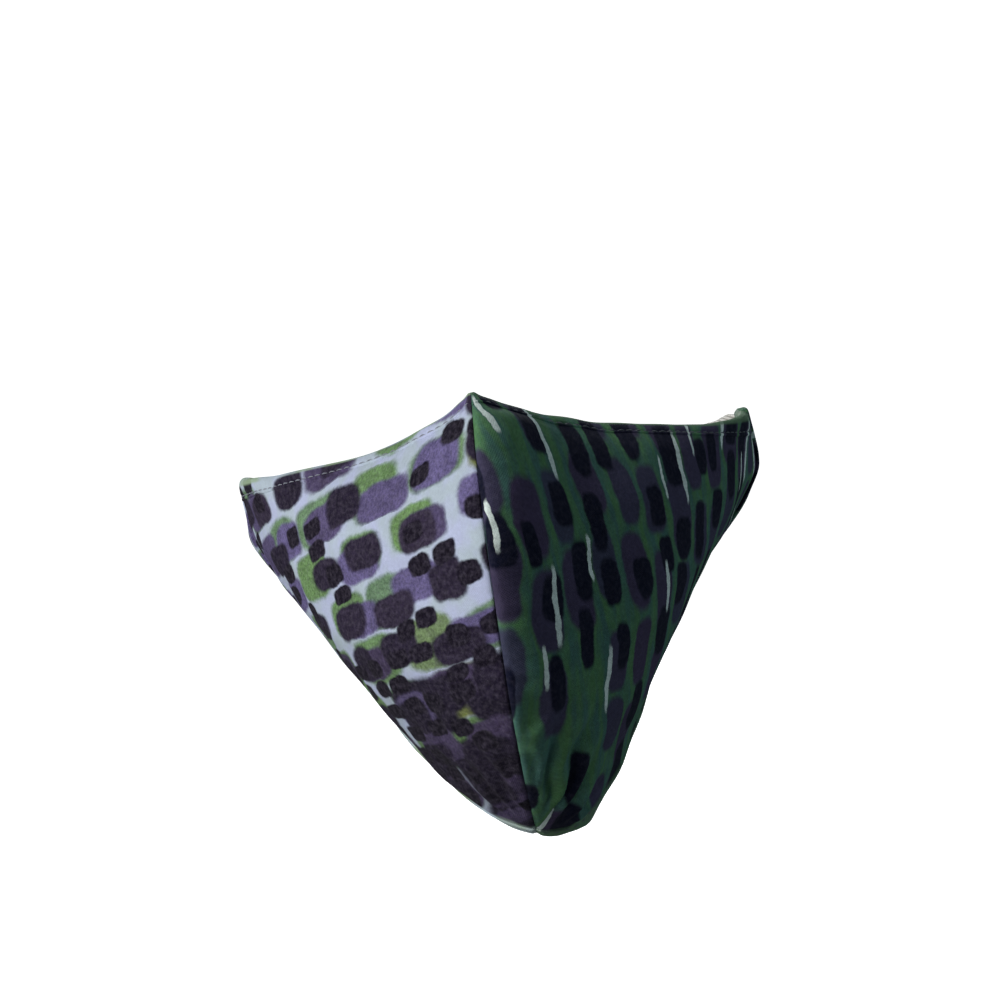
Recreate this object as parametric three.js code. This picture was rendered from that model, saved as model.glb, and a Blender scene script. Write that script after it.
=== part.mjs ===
import * as THREE from 'three';

// A cloth face mask as it is worn: two shaped cotton panels meet at a curved centre seam that stands
// out like a keel from the nose bridge to under the chin. The edges are turned into hems, and a flat
// elastic loop leaves each side edge for the ear.
// Millimetres, +Z up. The wearer looks along -Y, and +X is the wearer's left.
// The origin is the top of the centre seam, where the mask sits on the nose bridge.

// The worn mask
const MASK_WIDTH = 140.6; // across the tops of the side edges
const NOSE_TO_SIDE = 82; // nose bridge back to the side edges
const SEAM_HEIGHT = 109.3; // nose bridge down to the chin end of the seam
const SEAM_REACH = 32.1; // how far the seam stands out before the nose bridge
const SIDE_DROP = 17.4; // nose bridge down to the top of a side edge
const SIDE_HEIGHT = 39.2; // top to bottom of a side edge
const SIDE_LEAN = 3; // how far a side edge's bottom lies behind its top

// The cloth
const PANEL_WALL = 2; // two layers of printed cotton
const HEM_WALL = 2.6; // the same cloth turned over
const TOP_HEM = 7;
const BOTTOM_HEM = 4.5;
const SIDE_HEM = 8;
const GAP = 0.3; // clearance between neighbouring pieces

// The ear loops
const ELASTIC_WIDTH = 6;
const ELASTIC_WALL = 1.2;
const LOOP_LENGTH = 140; // one loop's elastic from hem to hem
const LOOP_INSET = 5; // the loop's rear runs this far inside the side edge's top

// How finely the curves are cut
const ACROSS_STEPS = 24;
const DOWN_STEPS = 24;
const HEM_STEPS = 2;
const SIDE_STEPS = 14;
const LOOP_STEPS = 44;
const WALK_STEPS = 80;

// The centre seam and the side edge, from the top edge (t 0) to the bottom edge (t 1).
// reach, drop, lean and sink are shares of SEAM_REACH, SEAM_HEIGHT, SIDE_LEAN and SIDE_HEIGHT.
const EDGES = [
  { t: 0.0, reach: 0.0, drop: 0.0, lean: 0.0, sink: 0.0 },
  { t: 0.2, reach: 0.7, drop: 0.155, lean: 0.1, sink: 0.2 },
  { t: 0.4, reach: 1.0, drop: 0.36, lean: 0.3, sink: 0.4 },
  { t: 0.6, reach: 0.98, drop: 0.58, lean: 0.5, sink: 0.6 },
  { t: 0.8, reach: 0.605, drop: 0.795, lean: 0.8, sink: 0.8 },
  { t: 1.0, reach: -0.19, drop: 1.0, lean: 1.0, sink: 1.0 },
];

// The rows of a panel run from the seam to the side edge. keel is the angle in degrees between the
// cloth and straight back where it leaves the seam, and turn the angle by which it turns inward at
// the side edge. nose and cheek are the pulls of the curve at its two ends, as shares of the row's
// length in plan. width is the side edge's place, as a share of half the mask's width. fall and
// settle are the shares of the row's fall that are done at the two pulls.
const RIGHT_ROWS = [
  { t: 0.0, keel: 41, turn: 7.5, nose: 0.27, cheek: 0.34, width: 1.0, fall: 0.92, settle: 1.22 },
  { t: 0.2, keel: 43, turn: -1.5, nose: 0.3, cheek: 0.35, width: 1.025, fall: 0.62, settle: 1.05 },
  { t: 0.4, keel: 49, turn: -8.5, nose: 0.35, cheek: 0.37, width: 1.03, fall: 0.38, settle: 0.75 },
  { t: 0.6, keel: 57, turn: -16.5, nose: 0.38, cheek: 0.37, width: 0.985, fall: 0.33, settle: 0.7 },
  { t: 0.8, keel: 65, turn: -26.5, nose: 0.36, cheek: 0.38, width: 0.9, fall: 0.17, settle: 0.67 },
  { t: 1.0, keel: 74, turn: -37, nose: 0.3, cheek: 0.41, width: 0.79, fall: -0.15, settle: 0.66 },
];
const LEFT_ROWS = [
  { t: 0.0, keel: 42.5, turn: 9, nose: 0.27, cheek: 0.34, width: 1.0, fall: 1.1, settle: 0.8 },
  { t: 0.2, keel: 44, turn: -1, nose: 0.3, cheek: 0.355, width: 1.015, fall: 0.75, settle: 0.8 },
  { t: 0.4, keel: 49.5, turn: -8, nose: 0.35, cheek: 0.37, width: 1.015, fall: 0.4, settle: 0.75 },
  { t: 0.6, keel: 56, turn: -15, nose: 0.38, cheek: 0.37, width: 0.98, fall: 0.33, settle: 0.7 },
  { t: 0.8, keel: 62, turn: -24, nose: 0.365, cheek: 0.37, width: 0.915, fall: 0.285, settle: 0.67 },
  { t: 1.0, keel: 66.5, turn: -32.5, nose: 0.32, cheek: 0.375, width: 0.825, fall: 0.19, settle: 0.66 },
];

// An ear loop's route from its upper end to its lower end. back is a share of the loop's reach behind
// the side edge, height the share of the way up from the lower end to the upper one, and out the
// share of the way across from the ends to the loop's rear.
const LOOP_ROUTE = [
  { back: 0.0, height: 1.0, out: 0.0 },
  { back: 0.3, height: 1.0, out: 0.35 },
  { back: 0.6, height: 1.0, out: 0.8 },
  { back: 0.87, height: 0.86, out: 1.0 },
  { back: 1.0, height: 0.5, out: 1.0 },
  { back: 0.87, height: 0.14, out: 1.0 },
  { back: 0.6, height: -0.02, out: 0.8 },
  { back: 0.3, height: -0.02, out: 0.35 },
  { back: 0.0, height: 0.0, out: 0.0 },
];
const LOOP_TOP_SHARE = 0.14; // where the ends meet the side edge, as shares of it
const LOOP_BOTTOM_SHARE = 0.86;

const RIGHT = { sign: 1, rows: RIGHT_ROWS };
const LEFT = { sign: -1, rows: LEFT_ROWS };

// The slope of a column at a row of a table, limited so that the curve never overshoots
function slopeAt(table, column, k) {
  const slopes = [];
  for (let i = 0; i + 1 < table.length; i += 1) {
    slopes.push((table[i + 1][column] - table[i][column]) / (table[i + 1].t - table[i].t));
  }
  const last = slopes.length - 1;
  if (k > 0 && k <= last) {
    const before = slopes[k - 1];
    const after = slopes[k];
    return before * after <= 0 ? 0 : (2 * before * after) / (before + after);
  }
  const near = k === 0 ? slopes[0] : slopes[last];
  const next = k === 0 ? slopes[1] : slopes[last - 1];
  const slope = (3 * near - next) / 2;
  if (slope * near <= 0) return 0;
  return near * next < 0 && Math.abs(slope) > 3 * Math.abs(near) ? 3 * near : slope;
}

// The value of a table's column at t, on a smooth curve through its rows
function between(table, column, t) {
  let k = 0;
  while (k + 2 < table.length && t > table[k + 1].t) k += 1;
  const a = table[k];
  const b = table[k + 1];
  const span = b.t - a.t;
  const u = (t - a.t) / span;
  const rest = 1 - u;
  const startSlope = slopeAt(table, column, k) * span;
  const endSlope = slopeAt(table, column, k + 1) * span;
  return (
    a[column] * (1 + 2 * u) * rest * rest +
    startSlope * u * rest * rest +
    b[column] * u * u * (3 - 2 * u) -
    endSlope * u * u * rest
  );
}

// The curve of one row of a half, from the seam to the side edge
function rowCurve(half, t) {
  const edge = (column) => between(EDGES, column, t);
  const row = (column) => between(half.rows, column, t);
  const start = new THREE.Vector3(0, -SEAM_REACH * edge('reach'), -SEAM_HEIGHT * edge('drop'));
  const end = new THREE.Vector3(
    (MASK_WIDTH / 2) * row('width'),
    NOSE_TO_SIDE + SIDE_LEAN * edge('lean'),
    -SIDE_DROP - SIDE_HEIGHT * edge('sink'),
  );
  const length = Math.hypot(end.x - start.x, end.y - start.y);
  const fall = end.z - start.z;
  const keel = THREE.MathUtils.degToRad(row('keel'));
  const turn = THREE.MathUtils.degToRad(row('turn'));
  const nose = row('nose') * length;
  const cheek = row('cheek') * length;
  const first = new THREE.Vector3(
    Math.sin(keel) * nose,
    start.y + Math.cos(keel) * nose,
    start.z + fall * row('fall'),
  );
  const second = new THREE.Vector3(
    end.x + Math.sin(turn) * cheek,
    end.y - Math.cos(turn) * cheek,
    start.z + fall * row('settle'),
  );
  const curve = new THREE.CubicBezierCurve3(start, first, second, end);
  for (const point of [curve.v0, curve.v1, curve.v2, curve.v3]) point.x *= half.sign;
  return curve;
}

// A point of the outer face: s from the seam (0) to the side edge (1), t from top to bottom
function facePoint(half, s, t) {
  return rowCurve(half, t).getPoint(s);
}

// The direction in which s or t grows on the outer face
function faceSlope(half, s, t, ds, dt) {
  const a = facePoint(half, Math.max(0, s - ds), Math.max(0, t - dt));
  const b = facePoint(half, Math.min(1, s + ds), Math.min(1, t + dt));
  return b.sub(a).normalize();
}

// The unit vector into the cloth, towards the wearer's face
function inward(half, s, t) {
  const along = faceSlope(half, s, t, 0.002, 0);
  const down = faceSlope(half, s, t, 0, 0.002);
  return along.cross(down).multiplyScalar(half.sign).normalize();
}

// The share of a path at which a distance from its start is reached
function shareAt(path, distance) {
  let walked = 0;
  let last = path(0);
  for (let i = 1; i <= WALK_STEPS; i += 1) {
    const here = path(i / WALK_STEPS);
    const step = here.distanceTo(last);
    if (walked + step >= distance) return (i - 1 + (distance - walked) / step) / WALK_STEPS;
    walked += step;
    last = here;
  }
  return 1;
}

// Where a hem's inner edge lies, from the top, the bottom and the side edge
const belowTop = (half, s, distance) => shareAt((v) => facePoint(half, s, v), distance);
const aboveBottom = (half, s, distance) => 1 - shareAt((v) => facePoint(half, s, 1 - v), distance);
const beforeSide = (half, distance) => 1 - shareAt((u) => facePoint(half, 1 - u, 0.5), distance);

// The vector from the outer face to the inner one. At the seam the two halves meet in a mitre on the
// mirror plane, which fades out over a few wall thicknesses.
function throughCloth(half, s, t, wall) {
  const square = inward(half, s, t).multiplyScalar(wall);
  const mitre = inward(half, 0, t);
  mitre.x = 0;
  mitre.multiplyScalar(wall / mitre.lengthSq());
  const fromSeam = facePoint(half, s, t).distanceTo(facePoint(half, 0, t));
  return mitre.lerp(square, THREE.MathUtils.smoothstep(fromSeam, 0, 4 * wall));
}

// A closed piece of cloth between two values of s and, at each s, two values of t
function clothPiece(half, area, wall, across, down) {
  const outer = [];
  const inner = [];
  for (let i = 0; i <= across; i += 1) {
    const s = THREE.MathUtils.lerp(area.from, area.to, i / across);
    const top = area.top(s);
    const bottom = area.bottom(s);
    for (let j = 0; j <= down; j += 1) {
      const t = THREE.MathUtils.lerp(top, bottom, j / down);
      const face = facePoint(half, s, t);
      const back = face.clone().add(throughCloth(half, s, t, wall));
      for (const point of [face, back]) {
        point.x = half.sign * Math.max(GAP / 2, half.sign * point.x);
      }
      outer.push(face);
      inner.push(back);
    }
  }
  const o = (i, j) => i * (down + 1) + j;
  const n = (i, j) => outer.length + o(i, j);
  const indices = [];
  const quad = (a, b, c, d) => {
    if (half.sign > 0) indices.push(a, b, c, a, c, d);
    else indices.push(a, c, b, a, d, c);
  };
  for (let i = 0; i < across; i += 1) {
    for (let j = 0; j < down; j += 1) {
      quad(o(i, j), o(i, j + 1), o(i + 1, j + 1), o(i + 1, j));
      quad(n(i, j), n(i + 1, j), n(i + 1, j + 1), n(i, j + 1));
    }
    quad(o(i, 0), o(i + 1, 0), n(i + 1, 0), n(i, 0));
    quad(o(i, down), n(i, down), n(i + 1, down), o(i + 1, down));
  }
  for (let j = 0; j < down; j += 1) {
    quad(o(0, j), n(0, j), n(0, j + 1), o(0, j + 1));
    quad(o(across, j), o(across, j + 1), n(across, j + 1), n(across, j));
  }
  return closedGeometry([...outer, ...inner], indices);
}

// A geometry from points and triangles
function closedGeometry(points, indices) {
  const geometry = new THREE.BufferGeometry().setFromPoints(points);
  geometry.setIndex(indices);
  geometry.computeVertexNormals();
  return geometry;
}

// The areas of a half's pieces, each a gap away from its neighbours
function halfAreas(half) {
  const hemStart = beforeSide(half, SIDE_HEM);
  const clothEnd = beforeSide(half, SIDE_HEM + GAP);
  const topEdge = () => 0;
  const bottomEdge = () => 1;
  return {
    panel: {
      from: 0,
      to: clothEnd,
      top: (s) => belowTop(half, s, TOP_HEM + GAP),
      bottom: (s) => aboveBottom(half, s, BOTTOM_HEM + GAP),
    },
    topHem: { from: 0, to: clothEnd, top: topEdge, bottom: (s) => belowTop(half, s, TOP_HEM) },
    bottomHem: {
      from: 0,
      to: clothEnd,
      top: (s) => aboveBottom(half, s, BOTTOM_HEM),
      bottom: bottomEdge,
    },
    sideHem: { from: hemStart, to: 1, top: topEdge, bottom: bottomEdge },
  };
}

// Where a loop's end faces the side hem: the middle of its wall, a gap behind its rear edge
function loopEnd(half, t) {
  const leave = faceSlope(half, 1, t, 0.002, 0);
  const point = facePoint(half, 1, t);
  point.add(inward(half, 1, t).multiplyScalar(HEM_WALL / 2));
  return point.add(leave.multiplyScalar(GAP));
}

// The loop's centre line for a given reach behind the side edge
function loopPath(half, reach) {
  const upper = loopEnd(half, LOOP_TOP_SHARE);
  const lower = loopEnd(half, LOOP_BOTTOM_SHARE);
  const rear = half.sign * (MASK_WIDTH / 2 - LOOP_INSET);
  const points = LOOP_ROUTE.map(({ back, height, out }) => {
    const start = lower.clone().lerp(upper, height);
    const x = THREE.MathUtils.lerp(start.x, rear, out);
    return new THREE.Vector3(x, start.y + back * reach, start.z);
  });
  const leave = (t) => faceSlope(half, 1, t, 0.002, 0).multiplyScalar(ELASTIC_WIDTH / 3);
  points.splice(1, 0, upper.clone().add(leave(LOOP_TOP_SHARE)));
  points.splice(-1, 0, lower.clone().add(leave(LOOP_BOTTOM_SHARE)));
  return new THREE.CatmullRomCurve3(points, false, 'centripetal');
}

// The reach that gives the loop its real length
function loopReach(half) {
  let reach = LOOP_LENGTH / 3;
  for (let i = 0; i < 12; i += 1) {
    reach += (LOOP_LENGTH - loopPath(half, reach).getLength()) / 2;
  }
  return reach;
}

// A flat elastic that leaves the hem in the plane of the cloth and goes round the ear on its edge
function loopPiece(half) {
  const path = loopPath(half, loopReach(half));
  const side = new THREE.Vector3(1, 0, 0);
  const corners = [];
  for (let i = 0; i <= LOOP_STEPS; i += 1) {
    const u = i / LOOP_STEPS;
    const centre = path.getPointAt(u);
    const run = path.getTangentAt(u);
    const across = side.clone().addScaledVector(run, -side.dot(run)).normalize();
    const up = across.clone().cross(run);
    const fromEnd = Math.min(u, 1 - u);
    const twist = (THREE.MathUtils.smoothstep(fromEnd, 0.06, 0.36) * Math.PI) / 2;
    const width = up.multiplyScalar(Math.cos(twist)).addScaledVector(across, Math.sin(twist));
    const edge = faceSlope(half, 1, u < 0.5 ? LOOP_TOP_SHARE : LOOP_BOTTOM_SHARE, 0, 0.002);
    if (edge.dot(width) < 0) edge.negate();
    width.lerp(edge, 1 - THREE.MathUtils.smoothstep(fromEnd, 0, 0.05)).normalize();
    const wall = run.clone().cross(width).normalize();
    for (const [w, h] of [[-1, -1], [1, -1], [1, 1], [-1, 1]]) {
      const corner = centre.clone().addScaledVector(width, (w * ELASTIC_WIDTH) / 2);
      corners.push(corner.addScaledVector(wall, (h * ELASTIC_WALL) / 2));
    }
  }
  const indices = [];
  for (let i = 0; i < LOOP_STEPS; i += 1) {
    for (let k = 0; k < 4; k += 1) {
      const a = i * 4 + k;
      const b = i * 4 + ((k + 1) % 4);
      indices.push(a, b, b + 4, a, b + 4, a + 4);
    }
  }
  const last = LOOP_STEPS * 4;
  indices.push(0, 2, 1, 0, 3, 2);
  indices.push(last, last + 1, last + 2, last, last + 2, last + 3);
  return closedGeometry(corners, indices);
}

// Materials
const print = (color) => new THREE.MeshStandardMaterial({ color, roughness: 0.95, metalness: 0 });
const lightPrint = print(0x77788c);
const darkPrint = print(0x23302f);
const lightHem = print(0x8f9a96);
const darkHem = print(0x2b3a38);
const elastic = print(0xf0eee8);

function addPiece(group, name, geometry, material) {
  const mesh = new THREE.Mesh(geometry, material);
  mesh.name = name;
  group.add(mesh);
}

// One half of the mask: its panel, three hems and ear loop
function buildHalf(half, label, panelMaterial, hemMaterial) {
  const group = new THREE.Group();
  const areas = halfAreas(half);
  const panel = clothPiece(half, areas.panel, PANEL_WALL, ACROSS_STEPS, DOWN_STEPS);
  const topHem = clothPiece(half, areas.topHem, HEM_WALL, ACROSS_STEPS, HEM_STEPS);
  const bottomHem = clothPiece(half, areas.bottomHem, HEM_WALL, ACROSS_STEPS, HEM_STEPS);
  const sideHem = clothPiece(half, areas.sideHem, HEM_WALL, HEM_STEPS, SIDE_STEPS);
  addPiece(group, `panel_${label}`, panel, panelMaterial);
  addPiece(group, `top_hem_${label}`, topHem, hemMaterial);
  addPiece(group, `bottom_hem_${label}`, bottomHem, hemMaterial);
  addPiece(group, `side_hem_${label}`, sideHem, hemMaterial);
  addPiece(group, `ear_loop_${label}`, loopPiece(half), elastic);
  return group;
}

const mask = new THREE.Group();
mask.add(buildHalf(RIGHT, 'right', darkPrint, darkHem));
mask.add(buildHalf(LEFT, 'left', lightPrint, lightHem));

export default mask;
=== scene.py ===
import collections
import math

import bpy
import numpy as np
from mathutils import Matrix, Vector


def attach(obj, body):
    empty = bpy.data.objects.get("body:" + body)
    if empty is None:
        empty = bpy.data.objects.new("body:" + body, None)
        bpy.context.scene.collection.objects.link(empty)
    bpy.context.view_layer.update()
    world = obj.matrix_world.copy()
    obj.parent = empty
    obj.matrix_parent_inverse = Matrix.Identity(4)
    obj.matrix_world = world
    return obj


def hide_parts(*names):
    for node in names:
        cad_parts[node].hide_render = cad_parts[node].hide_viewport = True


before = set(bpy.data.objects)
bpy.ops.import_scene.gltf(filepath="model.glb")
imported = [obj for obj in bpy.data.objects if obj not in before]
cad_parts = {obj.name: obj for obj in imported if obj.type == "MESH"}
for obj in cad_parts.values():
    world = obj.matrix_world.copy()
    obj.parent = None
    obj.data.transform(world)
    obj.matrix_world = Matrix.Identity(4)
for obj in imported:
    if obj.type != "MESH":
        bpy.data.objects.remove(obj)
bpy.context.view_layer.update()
SCENE = bpy.context.scene

# The worn mask's sizes, as in the solids, in metres
MM = 0.001
MASK_WIDTH = 140.6 * MM
NOSE_TO_SIDE = 82 * MM
SEAM_HEIGHT = 109.3 * MM
SEAM_REACH = 32.1 * MM
SIDE_DROP = 17.4 * MM
SIDE_HEIGHT = 39.2 * MM
SIDE_LEAN = 3 * MM
PANEL_WALL = 2 * MM
HEM_WALL = 2.6 * MM
TOP_HEM = 7 * MM
BOTTOM_HEM = 4.5 * MM
SIDE_HEM = 8 * MM
ELASTIC_WIDTH = 6 * MM
ELASTIC_WALL = 1.2 * MM
LOOP_LENGTH = 140 * MM
LOOP_INSET = 5 * MM
LOOP_TOP_SHARE = 0.14
LOOP_BOTTOM_SHARE = 0.86
GAP = 0.3 * MM

# Shapes of the seam and the side edge by t, from the top edge (0) to the bottom edge (1)
STATIONS = np.array([0.0, 0.2, 0.4, 0.6, 0.8, 1.0])
EDGES = {
    "reach": [0.0, 0.7, 1.0, 0.98, 0.605, -0.19],
    "drop": [0.0, 0.155, 0.36, 0.58, 0.795, 1.0],
    "lean": [0.0, 0.1, 0.3, 0.5, 0.8, 1.0],
    "sink": [0.0, 0.2, 0.4, 0.6, 0.8, 1.0],
}

# Shapes of a half's rows by t: angles in degrees at the seam and the side edge, pulls as shares of
# the row's length in plan, the side edge's place, and the row's fall at the two pulls
ROWS = {
    "right": {
        "sign": 1,
        "keel": [41, 43, 49, 57, 65, 74],
        "turn": [7.5, -1.5, -8.5, -16.5, -26.5, -37],
        "nose": [0.27, 0.3, 0.35, 0.38, 0.36, 0.3],
        "cheek": [0.34, 0.35, 0.37, 0.37, 0.38, 0.41],
        "width": [1.0, 1.025, 1.03, 0.985, 0.9, 0.79],
        "fall": [0.92, 0.62, 0.38, 0.33, 0.17, -0.15],
        "settle": [1.22, 1.05, 0.75, 0.7, 0.67, 0.66],
    },
    "left": {
        "sign": -1,
        "keel": [42.5, 44, 49.5, 56, 62, 66.5],
        "turn": [9, -1, -8, -15, -24, -32.5],
        "nose": [0.27, 0.3, 0.35, 0.38, 0.365, 0.32],
        "cheek": [0.34, 0.355, 0.37, 0.37, 0.37, 0.375],
        "width": [1.0, 1.015, 1.015, 0.98, 0.915, 0.825],
        "fall": [1.1, 0.75, 0.4, 0.33, 0.285, 0.19],
        "settle": [0.8, 0.8, 0.75, 0.7, 0.67, 0.66],
    },
}

# An ear loop's route, as shares of its reach, of the height between its ends and of the way out
LOOP_ROUTE = np.array(
    [
        [0.0, 1.0, 0.0],
        [0.3, 1.0, 0.35],
        [0.6, 1.0, 0.8],
        [0.87, 0.86, 1.0],
        [1.0, 0.5, 1.0],
        [0.87, 0.14, 1.0],
        [0.6, -0.02, 0.8],
        [0.3, -0.02, 0.35],
        [0.0, 0.0, 0.0],
    ]
)


# The surface of the worn mask

# How finely a column and a row are walked, and how far s and t step to find a direction
COLUMN_STEPS = 161
ROW_STEPS = 401
NUDGE = 0.002


def slopes(values):
    """Slopes of a smooth curve through a table's values that never overshoots."""
    steps = np.diff(values) / np.diff(STATIONS)
    before, after = steps[:-1], steps[1:]
    inner = np.where(before * after > 0, 2 * before * after / (before + after + 1e-30), 0.0)
    ends = []
    for near, following in ((steps[0], steps[1]), (steps[-1], steps[-2])):
        slope = (3 * near - following) / 2
        if slope * near <= 0:
            slope = 0.0
        elif near * following < 0 and abs(slope) > 3 * abs(near):
            slope = 3 * near
        ends.append(slope)
    return np.concatenate([[ends[0]], inner, [ends[1]]])


def between(values, t):
    """A table's value at each t."""
    values = np.array(values, float)
    slope = slopes(values)
    k = np.clip(np.searchsorted(STATIONS, t, side="right") - 1, 0, len(STATIONS) - 2)
    span = STATIONS[k + 1] - STATIONS[k]
    u = (t - STATIONS[k]) / span
    rest = 1 - u
    start = values[k] * (1 + 2 * u) * rest**2 + slope[k] * span * u * rest**2
    end = values[k + 1] * u**2 * (3 - 2 * u) - slope[k + 1] * span * u**2 * rest
    return start + end


def face(half, s, t):
    """Points of the outer face: s from the seam (0) to the side edge (1), t from top to bottom."""
    s, t = np.broadcast_arrays(np.asarray(s, float), np.asarray(t, float))
    table = ROWS[half]
    row = {name: between(table[name], t) for name in table if name != "sign"}
    edge = {name: between(EDGES[name], t) for name in EDGES}
    zero = np.zeros_like(t)
    start = np.stack([zero, -SEAM_REACH * edge["reach"], -SEAM_HEIGHT * edge["drop"]], -1)
    end = np.stack(
        [
            MASK_WIDTH / 2 * row["width"],
            NOSE_TO_SIDE + SIDE_LEAN * edge["lean"],
            -SIDE_DROP - SIDE_HEIGHT * edge["sink"],
        ],
        -1,
    )
    length = np.hypot(end[..., 0], end[..., 1] - start[..., 1])
    fall = end[..., 2] - start[..., 2]
    keel, turn = np.radians(row["keel"]), np.radians(row["turn"])
    nose, cheek = row["nose"] * length, row["cheek"] * length
    first = start + np.stack([np.sin(keel) * nose, np.cos(keel) * nose, fall * row["fall"]], -1)
    second = np.stack(
        [
            end[..., 0] + np.sin(turn) * cheek,
            end[..., 1] - np.cos(turn) * cheek,
            start[..., 2] + fall * row["settle"],
        ],
        -1,
    )
    s = s[..., None]
    points = (
        start * (1 - s) ** 3
        + first * 3 * s * (1 - s) ** 2
        + second * 3 * s**2 * (1 - s)
        + end * s**3
    )
    points[..., 0] *= table["sign"]
    return points


def unit(v):
    return v / np.linalg.norm(v, axis=-1, keepdims=True)


def along(half, s, t, ds, dt):
    """Unit directions in which s or t grows."""
    ahead = face(half, np.clip(s + ds, 0, 1), np.clip(t + dt, 0, 1))
    behind = face(half, np.clip(s - ds, 0, 1), np.clip(t - dt, 0, 1))
    return unit(ahead - behind)


def outward(half, s, t):
    """Unit normals of the outer face."""
    down, out = along(half, s, t, 0, NUDGE), along(half, s, t, NUDGE, 0)
    return unit(np.cross(down, out)) * ROWS[half]["sign"]


def seam_distance(half, t, base):
    """How far each point is from the seam's point of its row."""
    return np.linalg.norm(base - face(half, np.zeros_like(t), t), axis=-1)


def walked_along(line):
    """The distance of each point along a line."""
    return np.concatenate([[0], np.linalg.norm(np.diff(line, axis=0), axis=-1).cumsum()])


def walked_down(columns):
    """The distance of each point of a grid along its column."""
    walked = np.linalg.norm(np.diff(columns, axis=1), axis=-1).cumsum(axis=1)
    return np.concatenate([np.zeros((len(columns), 1)), walked], axis=1)


def values_at(where, walked, values):
    """Three numbers read off at distances along a line."""
    return np.stack([np.interp(where, walked, values[:, i]) for i in range(3)], -1)


def walk(half, s, distance, from_bottom=False):
    """The t at a distance down from the top edge, or up from the bottom edge, for each s."""
    steps = np.linspace(0, 1, COLUMN_STEPS)
    if from_bottom:
        steps = steps[::-1]
    walked = walked_down(face(half, s[:, None], steps[None]))
    return np.stack([np.interp(distance, walked[i], steps) for i in range(len(s))])


def side_start(half, distance):
    """The s at a distance before the side edge, measured along the middle row."""
    steps = np.linspace(1, 0, ROW_STEPS)
    return float(np.interp(distance, walked_along(face(half, steps, 0.5)), steps))


def smooth(x, low, high):
    """A soft step from 0 at low to 1 at high."""
    u = np.clip((x - low) / (high - low), 0, 1)
    return u * u * (3 - 2 * u)


def bell(distance, width):
    return np.exp(-((distance / width) ** 2))


def rounding(distance, radius):
    """How far a cloth's face falls near an edge that is rounded over."""
    near = np.clip(radius - distance, 0, radius)
    return radius - np.sqrt(radius**2 - near**2)


# Folds of the cloth, in metres. A pair is where a soft step begins and where it ends.

# Soft swells all over: each half's seed, how many waves add up, and their shortest and longest
SWELL_SEEDS = {"right": 11, "left": 5}
SWELL_WAVES = 14
SWELL_LENGTHS = (0.011, 0.034)
SWELL_HEIGHT = 0.00028
SWELL_STARTS = (0.002, 0.02)

# The ridge along the seam: the cloth beside it is steepened on the right up to this keel angle, and
# on the left by a plain slope. By t it begins under the nose bridge.
RIDGE_REACH = 0.008
RIDGE_ENDS = 0.03
RIDGE_KEEL = 83
RIDGE_MOST = 45
RIDGE_LEFT = 0.12
RIDGE_STARTS = (0.0, 0.1)

# Puckers drawn by the seam's stitches, which come this fast down the seam, a little unevenly
PUCKER_HEIGHT = 0.00014
PUCKER_RATE = 900
PUCKER_PLACE = 0.002
PUCKER_WIDTH = 0.005
WANDER_RATE = 410
WANDER_START = 1.3
WANDER = 1.4

# Creases that fan out from the chin, this many for a turn of a radian, by the distance from the
# chin and from the seam, and up to a share of the row
CREASE_HEIGHT = {"right": 0.0011, "left": 0.0005}
CREASE_ROWS_END = {"right": 0.1, "left": 0.36}
CREASE_FADE = 0.16
CREASE_RATE = 24
CREASE_WANDER = 0.05
CREASE_STARTS = (0.005, 0.016)
CREASE_ENDS = (0.03, 0.052)
CREASE_LEAVES_SEAM = (0.001, 0.006)

# How far the cloth beside the chin is drawn in, from which t, and between which s
DRAWN_IN = {"right": 0.0013, "left": 0.0}
DRAWN_DOWN = (0.78, 0.92)
DRAWN_STARTS = (0.1, 0.28)
DRAWN_ENDS = (0.55, 0.75)

# The groove where the two halves are sewn together
GROOVE_DEPTH = 0.0005
GROOVE_WIDTH = 0.0008


def crumple(half, points):
    """Soft uneven hollows and swells of about 1, the same each run."""
    draw = np.random.default_rng(SWELL_SEEDS[half])
    across = points[..., 1] * 0.9 + np.abs(points[..., 0]) * 0.45
    total = np.zeros(points.shape[:-1])
    for _ in range(SWELL_WAVES):
        angle, phase = draw.uniform(0, math.tau, 2)
        wave = draw.uniform(*SWELL_LENGTHS)
        run = across * math.cos(angle) + points[..., 2] * math.sin(angle)
        total += np.sin(run * math.tau / wave + phase)
    return total / math.sqrt(SWELL_WAVES)


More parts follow.
